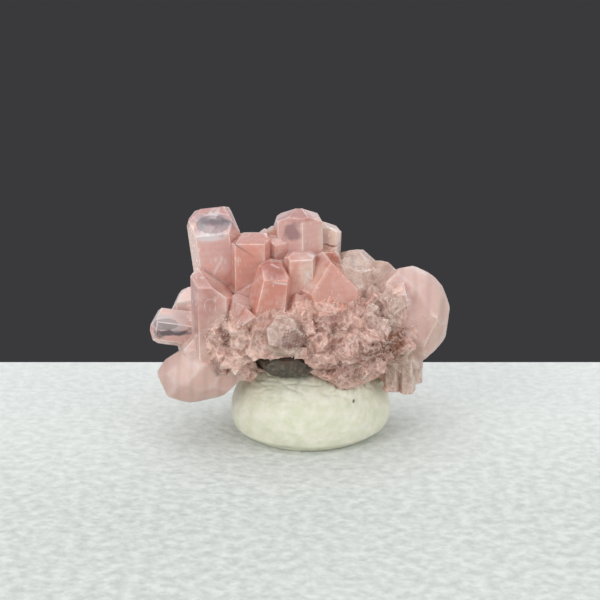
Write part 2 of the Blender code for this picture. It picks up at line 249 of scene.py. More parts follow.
@dataclass(frozen=True)
class CalciteFinish:
    """Calcite coloured by cobalt: see-through, more or less milky, with its growth relief."""

    name: str
    base: str
    cloud: str
    cloud_share: float
    roughness: float
    transmission: float
    milk: float  # how much of the rest scatters under the skin
    relief: float  # the bump's strength
    grain: float  # size of the fine relief, in millimetres
    lines: tuple[float, ...] = ()  # the lean of each set of growth lines, in degrees from level
    line_gap: float = 0.3  # millimetres
    line_depth: float = 0.4  # beside the fine relief's height
    line_shade: float = 0.1
    crests: float = 0.0  # how strongly the crests and hollows of the fine crust show
    veils: float = 0.0  # how white the healed cracks inside the crystals are
    veil_gap: float = 1.5  # between the cracks, in millimetres
    veil_width: float = 0.12  # the share of the gap that a crack takes
    blush: float = 0.0  # how far some parts lean from peach to lilac
    zone_share: float = 1.0  # how far the zones reach this surface: the crystals' own tones, and the painted light on some faces
    reach: Triple = (1.0, 0.75, 0.7)  # how far red, green and blue light scatter, beside one another
    glow: float = 0.9  # how far light scatters under the skin, in millimetres

    def material(self) -> bpy.types.Material:
        """Makes the material.

        Returns:
            The material.
        """
        made, tree, shader = new_material(
            self.name,
            IOR=CALCITE_IOR,
            Transmission_Weight=self.transmission,
            Subsurface_Weight=self.milk,
            Subsurface_Radius=self.reach,
            Subsurface_Scale=self.glow * MM,
        )
        place = add(tree, "ShaderNodeTexCoord").outputs["Object"]
        colour = self.body_colour(tree, place)
        fine = add(tree, "ShaderNodeTexNoise", {"Vector": place, "Scale": 1 / (self.grain * MM), "Detail": 4.0})
        height = fine.outputs[0]
        for turn in self.lines:
            height, colour = self.scored(tree, place, turn, height, colour)
        if self.veils:
            colour = self.veiled(tree, place, colour)
        if self.crests:
            height, colour = self.crested(tree, place, height, colour)
        tree.links.new(colour, shader.inputs["Base Color"])
        span = {"To Min": self.roughness * 0.6, "To Max": self.roughness * 1.4}
        rough = add(tree, "ShaderNodeMapRange", {"Value": fine.outputs[0], **span})
        tree.links.new(rough.outputs[0], shader.inputs["Roughness"])
        lift = {"Height": height, "Strength": self.relief, "Distance": 0.05 * MM}
        bump = add(tree, "ShaderNodeBump", lift)
        tree.links.new(bump.outputs[0], shader.inputs["Normal"])
        volume = add(tree, "ShaderNodeVolumeAbsorption", {"Color": linear("#F9D4CC"), "Density": 25.0})
        tree.links.new(volume.outputs[0], tree.nodes["Material Output"].inputs["Volume"])
        return made

    def scored(
        self, tree: Tree, place: Socket, turn: float, height: Socket, colour: Socket
    ) -> tuple[Socket, Socket]:
        """Scores one set of fine growth lines, as shallow grooves that also look a little darker.

        Args:
            tree: The material's tree.
            place: Object coordinates.
            turn: How far the lines lean from level, in degrees, seen from the display side.
            height: The relief so far.
            colour: The colour so far.

        Returns:
            The new relief and colour.
        """
        leant = add(tree, "ShaderNodeMapping", {"Vector": place, "Rotation": (0.0, math.radians(turn), 0.0)})
        bands = math.tau / 20 / (self.line_gap * MM)  # a wave texture repeats every tau / 20 of its scale
        values = {"Vector": leant.outputs[0], "Scale": bands, "Distortion": 1.6, "Detail": 2.0}
        values |= {"Detail Scale": 0.5}
        wave = add(tree, "ShaderNodeTexWave", values, bands_direction="Z").outputs["Fac"]
        share = add(tree, "ShaderNodeMath", {0: wave, 1: self.line_depth}, operation="MULTIPLY").outputs[0]
        height = add(tree, "ShaderNodeMath", {0: height, 1: share}, operation="ADD").outputs[0]
        span = {"From Min": 0.5, "From Max": 0.0, "To Max": self.line_shade}
        dark = add(tree, "ShaderNodeMapRange", {"Value": wave, **span}).outputs[0]
        blend = {0: dark, 6: colour, 7: linear("#7D5549")}
        return height, add(tree, "ShaderNodeMix", blend, data_type="RGBA").outputs[2]

    def veiled(self, tree: Tree, place: Socket, colour: Socket) -> Socket:
        """Draws healed cracks and flecks, which show white inside clear calcite.

        Args:
            tree: The material's tree.
            place: Object coordinates.
            colour: The colour so far.

        Returns:
            The new colour.
        """
        crack = threads(tree, place, self.veil_gap, self.veil_width)
        upright = add(tree, "ShaderNodeMapping", {"Vector": place, "Scale": (1.0, 1.0, 0.35)}).outputs[0]
        grains = add(tree, "ShaderNodeTexNoise", {"Vector": upright, "Scale": 4.5 / MM, "Detail": 3.0}).outputs[0]
        fleck = add(tree, "ShaderNodeMapRange", {"Value": grains, "From Min": 0.58, "From Max": 0.72}).outputs[0]
        either = add(tree, "ShaderNodeMath", {0: crack, 1: fleck}, operation="MAXIMUM").outputs[0]
        groups = add(tree, "ShaderNodeTexNoise", {"Vector": place, "Scale": 0.7 / MM, "Detail": 2.0}).outputs[0]
        span = {"Value": groups, "From Min": 0.42, "From Max": 0.62, "To Max": self.veils}
        here = add(tree, "ShaderNodeMapRange", span).outputs[0]
        share = add(tree, "ShaderNodeMath", {0: either, 1: here}, operation="MULTIPLY").outputs[0]
        blend = {0: share, 6: colour, 7: linear("#FFF6F2")}
        return add(tree, "ShaderNodeMix", blend, data_type="RGBA").outputs[2]

    def crested(self, tree: Tree, place: Socket, height: Socket, colour: Socket) -> tuple[Socket, Socket]:
        """Draws the crust's fine pale crests between brown hollows.

        Args:
            tree: The material's tree.
            place: Object coordinates.
            height: The relief so far.
            colour: The colour so far.

        Returns:
            The new relief and colour.
        """
        patches = add(tree, "ShaderNodeTexNoise", {"Vector": place, "Scale": 1.3 / MM, "Detail": 5.0})
        span = {"From Min": 0.44, "From Max": 0.66, "To Max": self.crests}
        brown = add(tree, "ShaderNodeMapRange", {"Value": patches.outputs[0], **span}).outputs[0]
        blend = {0: brown, 6: colour, 7: linear("#93695C")}
        colour = add(tree, "ShaderNodeMix", blend, data_type="RGBA").outputs[2]
        for gap in (0.6, 0.3):
            line = threads(tree, place, gap, 0.4)
            share = add(tree, "ShaderNodeMath", {0: line, 1: self.crests}, operation="MULTIPLY").outputs[0]
            blend = {0: share, 6: colour, 7: linear("#F8DFD2")}
            colour = add(tree, "ShaderNodeMix", blend, data_type="RGBA").outputs[2]
            height = add(tree, "ShaderNodeMath", {0: height, 1: share}, operation="ADD").outputs[0]
        return height, colour

    def body_colour(self, tree: Tree, place: Socket) -> Socket:
        """The colour: its zones, some of them painted light, a painted shadow and painted see-through grey, the
        milky clouds, the painted highlight along the edges and the darker brown in the druse hollows.

        Args:
            tree: The material's tree.
            place: Object coordinates.

        Returns:
            The colour's socket.
        """
        wander = add(tree, "ShaderNodeTexNoise", {"Vector": place, "Scale": 0.8 / MM, "Detail": 3.0})
        middle = add(tree, "ShaderNodeVectorMath", {0: wander.outputs[1], 1: (0.5, 0.5, 0.5)}, operation="SUBTRACT")
        shift = add(tree, "ShaderNodeVectorMath", {0: middle.outputs[0], "Scale": 2.0 * MM}, operation="SCALE")
        moved = add(tree, "ShaderNodeVectorMath", {0: place, 1: shift.outputs[0]}).outputs[0]
        colour = add(tree, "ShaderNodeRGB").outputs[0]
        colour.default_value = linear(self.base)
        for zone in ZONES:
            colour = colour if zone.over else zone.tint(tree, moved, colour, self.zone_share)
        noise_node = add(tree, "ShaderNodeTexNoise", {"Vector": place, "Scale": 0.6 / MM, "Detail": 6.0, "Roughness": 0.62})
        tone_noise = add(tree, "ShaderNodeTexNoise", {"Vector": moved, "Scale": 0.32 / MM, "Detail": 2.0})
        span = {"From Min": 0.42, "From Max": 0.6, "To Max": self.blush}
        lilac = add(tree, "ShaderNodeMapRange", {"Value": tone_noise.outputs[0], **span}).outputs[0]
        blend = {0: lilac, 6: colour, 7: linear("#E6B9B5")}
        colour = add(tree, "ShaderNodeMix", blend, data_type="RGBA").outputs[2]
        span = {"From Min": 0.45, "From Max": 0.72, "To Max": self.cloud_share}
        cloud = add(tree, "ShaderNodeMapRange", {"Value": noise_node.outputs[0], **span})
        blend = {0: cloud.outputs[0], 6: colour, 7: linear(self.cloud)}
        colour = add(tree, "ShaderNodeMix", blend, data_type="RGBA").outputs[2]
        for zone in ZONES:
            colour = zone.tint(tree, moved, colour) if zone.over else colour
        # Painted highlight along the broad crystal edges, then darker brown in the druse hollows.
        for attribute, tone in (("rim_highlight", "#F9EAE5"), ("hollow", "#8F6558")):
            share = add(tree, "ShaderNodeAttribute", attribute_name=attribute).outputs["Fac"]
            blend = {0: share, 6: colour, 7: linear(tone)}
            colour = add(tree, "ShaderNodeMix", blend, data_type="RGBA").outputs[2]
        return colour


# Milky growth faces scatter light inside and stay soft; caps are clear and glossy; frosted faces are
# etched; druse is a sugar of tiny crystals, darker brown in its hollows; the chamfered edges catch the
# light, while their pale faces and the rims beside them are painted highlights, and the other pale faces painted
# light.
FINISHES = {
    Surface.MILKY: CalciteFinish(
        name="calcite_milky_growth_face", base="#F3C7BA", cloud="#FADFD6", cloud_share=0.7, roughness=0.18,
        transmission=0.35, milk=0.75, relief=0.12, grain=0.6, lines=(3.0,), line_gap=0.5, line_depth=0.3,
        line_shade=0.04, veils=0.85, blush=0.3,
    ),
    Surface.CLEAR: CalciteFinish(
        name="calcite_clear_cap_face", base="#D3BFC0", cloud="#CDBFC3", cloud_share=0.6, roughness=0.08,
        transmission=0.6, milk=0.5, relief=0.15, grain=0.4, veils=1.0, veil_gap=0.7, veil_width=0.45,
    ),
    Surface.FROSTED: CalciteFinish(
        name="calcite_frosted_face", base="#E8C5B8", cloud="#F2DACF", cloud_share=0.7, roughness=0.4,
        transmission=0.3, milk=0.75, relief=0.25, grain=0.3, lines=(88.0,), line_gap=1.1, line_depth=0.3,
        line_shade=0.12, veils=0.3, blush=0.35,
    ),
    Surface.DRUSE: CalciteFinish(
        name="calcite_druse_crust", base="#DAAD9E", cloud="#E0BEB0", cloud_share=0.8, roughness=0.25,
        transmission=0.0, milk=0.4, relief=0.6, grain=0.15, crests=0.36, zone_share=0.3,
        reach=(1.0, 0.88, 0.85), glow=0.5,
    ),
    Surface.ETCHED: CalciteFinish(
        name="calcite_etched_rhomb_face", base="#C49D8F", cloud="#D9BBAF", cloud_share=0.7, roughness=0.35,
        transmission=0.0, milk=0.5, relief=0.4, grain=0.2, lines=(78.0, 8.0), line_gap=0.24, line_depth=0.8,
        line_shade=0.7, crests=0.12, reach=(1.0, 0.88, 0.85), glow=0.5,
    ),
    Surface.BROKEN: CalciteFinish(
        name="calcite_broken_streaky_face", base="#D9BFB3", cloud="#EAD9CF", cloud_share=0.7, roughness=0.3,
        transmission=0.2, milk=0.6, relief=0.4, grain=0.3, lines=(84.0,), line_gap=0.9, line_depth=0.5,
        line_shade=0.12, crests=0.4, reach=(1.0, 0.85, 0.8), glow=0.5,
    ),
    # Painted light and painted edge highlights, lighter and less see-through than the milky faces.
    Surface.PALE: CalciteFinish(
        name="calcite_pale_painted_light_face", base="#F3DAD1", cloud="#F9E8E1", cloud_share=0.3, roughness=0.25,
        transmission=0.2, milk=0.7, relief=0.1, grain=0.3,
    ),
}

ZONES = (
    Zone((-3.2, -2.4, 13.6), (3.2, 4.4, 3.6), "#EAA490"),
    Zone((2.2, -2.4, 13.4), (3.0, 3.8, 2.8), "#D9947E"),
    Zone((0.6, -4.8, 10.7), (6.0, 2.2, 1.2), "#DDB5A7", 0.75, 0.8),
    Zone((-0.4, -3.4, 14.2), (0.9, 1.5, 1.6), "#F0B29E", 0.9),
    Zone((-2.2, -4.2, 15.4), (1.2, 1.2, 0.6), "#BC7060", 0.9),
    # Painted light: the left face of a middle crystal, turned to the lamps, made lighter.
    Zone((0.9, -3.3, 14.5), (1.1, 1.4, 1.2), "#FFDFCF", 0.75, 0.6, True),
    Zone((-7.9, -4.4, 13.0), (1.8, 1.6, 3.6), "#D29E94", 0.9),
    Zone((-7.2, -1.7, 15.9), (1.9, 1.8, 1.9), "#FACABF", 0.8),
    # Painted light: the left face of the tall left crystal and the top of a small crystal at the lower left, made
    # lighter as lit faces.
    Zone((-8.7, -1.0, 15.4), (0.7, 1.5, 2.2), "#FFDCD1", 1.0),
    Zone((-10.2, -1.2, 11.4), (1.7, 2.2, 1.8), "#FBDAD1", 0.8),
    Zone((0.3, -0.4, 16.9), (2.3, 1.8, 1.5), "#FBCCC0", 0.9),
    Zone((-0.3, -0.6, 18.9), (1.8, 1.6, 0.7), "#D29287", 0.9),
    # Painted light: the small crystal right of the top, made lighter.
    Zone((2.4, 0.6, 16.8), (1.2, 1.6, 1.5), "#FFDCCC", 1.0),
    Zone((8.7, -0.4, 10.5), (3.8, 3.4, 4.6), "#E8C2B7"),
    Zone((11.6, -2.4, 10.4), (1.2, 2.4, 2.6), "#E9D2BE", 0.8, 0.8),
    Zone((5.0, 0.8, 13.4), (2.8, 3.0, 2.4), "#D0B09E"),
    Zone((-1.2, -6.1, 10.2), (2.2, 1.6, 2.2), "#AE8672", 0.95),
    Zone((-5.6, -4.8, 9.0), (2.4, 2.5, 2.8), "#F3D0C0", 0.6, 0.8, True),
    Zone((5.4, -4.8, 8.6), (3.0, 3.0, 2.6), "#AE8576", 0.55, 0.8, True),
    Zone((-6.9, -1.2, 18.6), (2.6, 2.2, 1.2), "#D3A19B", 0.9, 0.5, True),
    Zone((2.7, -3.6, 13.2), (1.7, 1.7, 1.7), "#DC8E72", 0.5, 0.8, True),
    Zone((-4.0, -2.6, 15.0), (1.2, 1.2, 1.8), "#F2B7A5", 0.4, 0.8, True),
    Zone((-4.0, -1.5, 17.2), (1.4, 1.5, 0.7), "#E6A493", 0.45, 0.8, True),
    Zone((-2.2, -4.0, 15.2), (1.2, 1.3, 0.8), "#C46A56", 0.35, 0.8, True),
    Zone((6.9, -3.8, 11.6), (1.5, 2.0, 1.7), "#C6AEA2", 0.8, 0.6, True),
    Zone((7.2, -4.6, 9.3), (1.5, 2.2, 1.0), "#7A4210", 0.95, 0.8, True),
    Zone((5.6, -5.6, 8.8), (1.1, 2.0, 1.0), "#7D5345", 0.8, 0.8, True),
    Zone((8.2, -3.2, 6.6), (2.2, 2.4, 2.0), "#C8AC96", 0.8),
    Zone((-1.4, -6.2, 9.2), (1.5, 1.4, 0.4), "#F4DED2", 0.7, 1.0, True),
    Zone((-0.5, -6.3, 10.2), (1.2, 1.4, 0.85), "#745044", 0.85, 0.6, True),
    Zone((-5.9, -5.0, 10.1), (0.5, 1.2, 0.7), "#7A4E42", 0.8, 0.8, True),
    Zone((-6.3, -4.8, 7.2), (0.8, 1.2, 0.4), "#8A6153", 0.7, 0.8, True),
    Zone((2.4, -5.0, 11.2), (1.0, 1.4, 0.8), "#92655A", 0.7, 0.8, True),
    Zone((3.4, -5.8, 7.6), (1.4, 1.6, 0.7), "#8E6459", 0.6, 0.8, True),
    # Painted shadow: a thin dark line where the top of one crystal runs under the small crystal right of the top.
    Zone((2.2, 0.8, 15.75), (1.1, 1.2, 0.12), "#8A564A", 0.8, 0.6, True),
    # Painted see-through grey: the dark surroundings seen through the clear windows in the crystal tips, painted
    # into the colour. Round the window on the tall left cap, the pale lines are painted reflections.
    Zone((-0.65, -1.4, 17.6), (0.65, 1.3, 0.8), "#B48A8C", 0.85, 0.6, True),
    Zone((2.0, 0.8, 16.5), (0.3, 1.4, 0.65), "#D2BCB4", 0.5, 0.9, True),
    Zone((-7.0, -1.3, 18.1), (1.5, 1.6, 0.75), "#CFC7CC", 0.9, 0.7, True),
    Zone((-6.8, -1.3, 18.2), (1.1, 1.6, 0.42), "#8E858D", 0.9, 1.0, True),
    Zone((-7.1, -2.3, 17.3), (1.3, 1.2, 0.3), "#FBF3F2", 0.85, 1.0, True),
    Zone((-6.7, -1.2, 18.75), (1.1, 1.2, 0.14), "#F8F4F5", 0.8, 1.0, True),
    Zone((-5.9, -1.6, 18.3), (0.35, 1.0, 0.4), "#8C8086", 0.7, 1.0, True),
    Zone((-7.6, -1.7, 17.6), (0.25, 1.0, 0.4), "#F5F0F1", 0.6, 1.0, True),
    Zone((-10.9, -2.5, 10.1), (1.4, 2.2, 0.62), "#DAD4D5", 0.8, 0.9, True),
    Zone((-10.5, -2.5, 9.4), (1.6, 2.2, 0.22), "#6E6466", 0.75, 0.7, True),
)


@dataclass(frozen=True)
class Region:
    """Faces whose middle lies in this ellipsoid get this surface, in millimetres."""

    centre: Triple
    radii: Triple
    surface: Surface

    def holds(self, places: np.ndarray, swell: float = 1.0) -> np.ndarray:
        """Says which places, in metres, lie inside, or inside the ellipsoid swollen by a factor."""
        shares = (places / MM - np.array(self.centre)) / np.array(self.radii)
        return (shares * shares).sum(axis=1) < swell * swell


REGIONS = (
    # Painted light: the small crystal right of the top, the left face of the tall left crystal and the top of a
    # small crystal at the lower left take the pale surface.
    Region((2.9, 0.6, 16.5), (0.65, 1.2, 1.5), Surface.PALE),
    Region((-8.6, -0.8, 13.6), (0.75, 2.0, 4.3), Surface.PALE),
    Region((-9.8, -0.3, 11.9), (1.3, 1.3, 0.5), Surface.PALE),
    Region((-7.0, -1.3, 18.1), (1.35, 1.6, 0.65), Surface.CLEAR),
    Region((-10.9, -2.5, 10.1), (1.1, 2.6, 0.42), Surface.CLEAR),
    Region((-10.3, -2.5, 9.4), (1.6, 2.6, 0.22), Surface.CLEAR),
    Region((-8.2, -2.3, 5.9), (4.2, 3.4, 2.95), Surface.FROSTED),
    Region((9.2, -0.2, 10.4), (3.6, 3.2, 4.8), Surface.FROSTED),
    Region((-0.5, -6.2, 10.2), (1.15, 1.4, 0.85), Surface.ETCHED),
    Region((-1.2, -6.0, 10.2), (1.9, 1.6, 1.9), Surface.BROKEN),
    Region((8.7, -2.6, 6.5), (2.2, 2.8, 2.1), Surface.BROKEN),
    Region((5.4, 0.6, 13.8), (3.4, 3.4, 2.6), Surface.BROKEN),
    Region((0.9, -3.4, 9.2), (7.2, 4.2, 3.7), Surface.DRUSE),
    Region((-5.4, -4.2, 9.4), (2.2, 2.4, 2.4), Surface.DRUSE),
    Region((6.8, -1.5, 8.0), (3.4, 5.0, 3.6), Surface.DRUSE),
    Region((6.4, -2.2, 11.7), (2.4, 3.4, 2.6), Surface.DRUSE),
    Region((0.0, 3.5, 7.8), (9.0, 5.0, 3.2), Surface.DRUSE),
    Region((0.0, 0.0, 5.8), (9.0, 6.5, 2.0), Surface.DRUSE),
)


@dataclass
class CrystalCluster:
    """The grown-together crystals, as one closed piece with a surface for each kind of face."""

    chamfer: float = 0.05  # of a broad crystal edge, in millimetres
    sharpest: float = 16.0  # edges that turn by less than this many degrees stay as they are
    broad: float = 0.8  # least area of both faces beside a chamfered edge, in square millimetres
    mesh_size: float = 0.42  # longest edge on the crystals, in millimetres
    druse_mesh_size: float = 0.16
    rim_highlight: float = 0.25  # how far the painted highlight runs in from an edge, in millimetres
    rim_highlight_strength: float = 0.4
    crest_gap: float = 0.75  # between the crests of the druse, in millimetres
    crest_depth: float = 0.16
    ragged: float = 0.35  # how far the borders between surfaces wander, in millimetres

    def build(self, frame: dict) -> bpy.types.Object:
        """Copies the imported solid, chamfers its broad edges, roughens its druse and dresses it.


        Returns:
            The new piece.
        """
        solid = merged_copy(frame, "calcite_cluster")
        packed = BVHTree.FromBMesh(solid)
        edges, worn = self.broad_edges(solid)
        # Points along the edges that get the painted rim highlight.
        rims = self.points_along(edges + worn)
        # The chamfer faces take the pale surface, a painted highlight along the broad edges.
        bmesh.ops.bevel(
            solid,
            geom=edges,
            offset=self.chamfer * MM,
            segments=1,
            profile=0.5,
            affect="EDGES",
            clamp_overlap=False,
            material=Surface.PALE.value,
        )
        self.hold_to(solid, packed)
        self.refine(solid)
        self.sort_faces(solid)
        self.mark_rim_highlights(solid, rims)
        self.soften(solid)
        self.roughen_druse(solid)
        mesh = bpy.data.meshes.new("calcite_crystals")
        solid.to_mesh(mesh)
        solid.free()
        for surface in Surface:
            mesh.materials.append(FINISHES[surface].material())
        piece = link_piece("calcite_crystals", mesh)
        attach(piece, ROOT)
        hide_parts("calcite_cluster")
        return piece

    def broad_edges(
        self, solid: bmesh.types.BMesh
    ) -> tuple[list[bmesh.types.BMEdge], list[bmesh.types.BMEdge]]:
        """The outer edges between broad crystal faces.

        Args:
            solid: The cluster.

        Returns:
            The edges of crisp crystals, and the edges of worn ones.
        """
        least = self.broad * MM * MM
        turn = math.radians(self.sharpest)
        edges = [
            edge
            for edge in solid.edges
            if edge.is_manifold
            and edge.calc_face_angle_signed() > turn
            and min(face.calc_area() for face in edge.link_faces) > least
            and edge.calc_length() > 8 * self.chamfer * MM
        ]
        found = surfaces_at([(edge.verts[0].co + edge.verts[1].co) / 2 for edge in edges])
        crisp = np.isin(found, [kind.value for kind in (Surface.MILKY, Surface.CLEAR, Surface.PALE)])
        worn = np.isin(found, [kind.value for kind in (Surface.BROKEN, Surface.ETCHED, Surface.FROSTED)])
        return list(compress(edges, crisp)), list(compress(edges, worn))

    def hold_to(self, solid: bmesh.types.BMesh, packed: BVHTree) -> None:
        """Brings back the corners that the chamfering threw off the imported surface.

        Args:
            solid: The chamfered cluster.
            packed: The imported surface.
        """
        for vert in solid.verts:
            near, _, _, distance = packed.find_nearest(vert.co)
            if distance > 1.5 * self.chamfer * MM:
                vert.co = near
        bmesh.ops.dissolve_degenerate(solid, dist=2e-3 * MM, edges=solid.edges)

    def points_along(self, edges: list[bmesh.types.BMEdge]) -> KDTree:
        """Points spaced along edges, ready for nearest-point questions.

        Args:
            edges: The edges.

        Returns:
            A balanced tree of the points.
        """
        step = 0.08 * MM
        points = []
        for edge in edges:
            start, end = (vert.co for vert in edge.verts)
            count = max(1, int(edge.calc_length() / step))
            points += [start.lerp(end, i / count) for i in range(count + 1)]
        tree = KDTree(len(points))
        for index, point in enumerate(points):
            tree.insert(point, index)
        tree.balance()
        return tree

    def refine(self, solid: bmesh.types.BMesh) -> None:
        """Splits long edges until the mesh can carry the painted rim highlights on the crystals and relief on the
        druse.

        Args:
            solid: The cluster.
        """
        bmesh.ops.triangulate(solid, faces=solid.faces)
        windows = [region for region in REGIONS if region.surface is Surface.CLEAR]
        for _ in range(9):
            edges = list(solid.edges)
            middles = [(edge.verts[0].co + edge.verts[1].co) / 2 for edge in edges]
            fine = surfaces_at(middles) == Surface.DRUSE.value
            for window in windows:
                fine |= window.holds(np.array([middle[:] for middle in middles]), 1.3)
            limits = np.where(fine, self.druse_mesh_size, self.mesh_size) * MM
            long_edges = [edge for edge, limit in zip(edges, limits) if edge.calc_length() > limit]
            if not long_edges:
                break
            bmesh.ops.subdivide_edges(solid, edges=long_edges, cuts=1)
            bmesh.ops.triangulate(solid, faces=[face for face in solid.faces if len(face.verts) > 3])

    def sort_faces(self, solid: bmesh.types.BMesh) -> None:
        """Gives each face its surface, with ragged borders.

        Args:
            solid: The cluster.
        """
        faces = [face for face in solid.faces if face.material_index != Surface.PALE.value]
        middles = [face.calc_center_median() for face in faces]
        spots = [spot + noise.noise_vector(spot / (0.8 * MM)) * self.ragged * MM for spot in middles]
        plain, ragged = surfaces_at(middles), surfaces_at(spots)
        clear = (plain == Surface.CLEAR.value) | (ragged == Surface.CLEAR.value)
        for face, surface in zip(faces, np.where(clear, plain, ragged)):
            face.material_index = int(surface)
        for face in solid.faces:
            face.smooth = False

    def mark_rim_highlights(self, solid: bmesh.types.BMesh, rims: KDTree) -> None:
        """Stores a painted highlight on each vertex near a broad edge, by how near it lies, uneven along the edge.

        Args:
            solid: The cluster.
            rims: Points along the broad edges.
        """
        layer = solid.verts.layers.float.new("rim_highlight")
        for vert in solid.verts:
            near = rims.find(vert.co)[2] / MM
            uneven = min(1.0, max(0.0, 0.5 + 1.2 * noise.noise(vert.co / (1.4 * MM))))
            vert[layer] = max(0.0, 1 - near / self.rim_highlight) * uneven * self.rim_highlight_strength

    def soften(self, solid: bmesh.types.BMesh) -> None:
        """Rounds off what isn't crisp: etched and frosted crystals a little, and the druse well.

        Args:
            solid: The cluster.
        """
        for surface, rounds in ((Surface.FROSTED, 2), (Surface.ETCHED, 4), (Surface.DRUSE, 10)):
            mine = [vert for vert in solid.verts if self.all_of(vert, surface)]
            for _ in range(rounds):
                bmesh.ops.smooth_vert(
                    solid, verts=mine, factor=0.5, use_axis_x=True, use_axis_y=True, use_axis_z=True
                )
            for face in solid.faces:
                if face.material_index == surface.value:
                    face.smooth = True

    @staticmethod
    def all_of(vert: bmesh.types.BMVert, surface: Surface) -> bool:
        """Whether every face round a vertex has one surface."""
        return all(face.material_index == surface.value for face in vert.link_faces)

    def roughen_druse(self, solid: bmesh.types.BMesh) -> None:
        """Sinks the druse between thin wandering crests and stores how deep each vertex lies.

        Args:
            solid: The cluster.
        """
        layer = solid.verts.layers.float.new("hollow")
        solid.normal_update()
        moves = []
        for vert in solid.verts:
            if not self.all_of(vert, Surface.DRUSE):
                continue
            place = vert.co / (self.crest_gap * MM)
            warped = place + noise.noise_vector(place * 1.3) * 0.45
            broad = self.sunk(warped)
            small = self.sunk(warped * 2.7)
            depth = 0.65 * broad + 0.35 * small
            vert[layer] = min(1.0, max(0.0, depth * 1.6 - 0.7)) * 0.6
            moves.append((vert, vert.normal * (self.crest_depth * (0.35 - depth) * MM)))
        for vert, move in moves:
            vert.co += move

    @staticmethod
    def sunk(place: Vector) -> float:
        """How deep a place lies between the winding crests, from 0 on a crest to 1."""
        return 1 - math.exp(-6 * abs(noise.noise(place)))


def surfaces_at(places: list[Vector]) -> np.ndarray:
    """The surface that each place on the cluster has.

    Args:
        places: The places, in metres.

    Returns:
        The value of each one's surface.
    """
    spots = np.array([place[:] for place in places])
    found = np.full(len(spots), Surface.MILKY.value)
    for region in reversed(REGIONS):
        found[region.holds(spots)] = region.surface.value
    return found


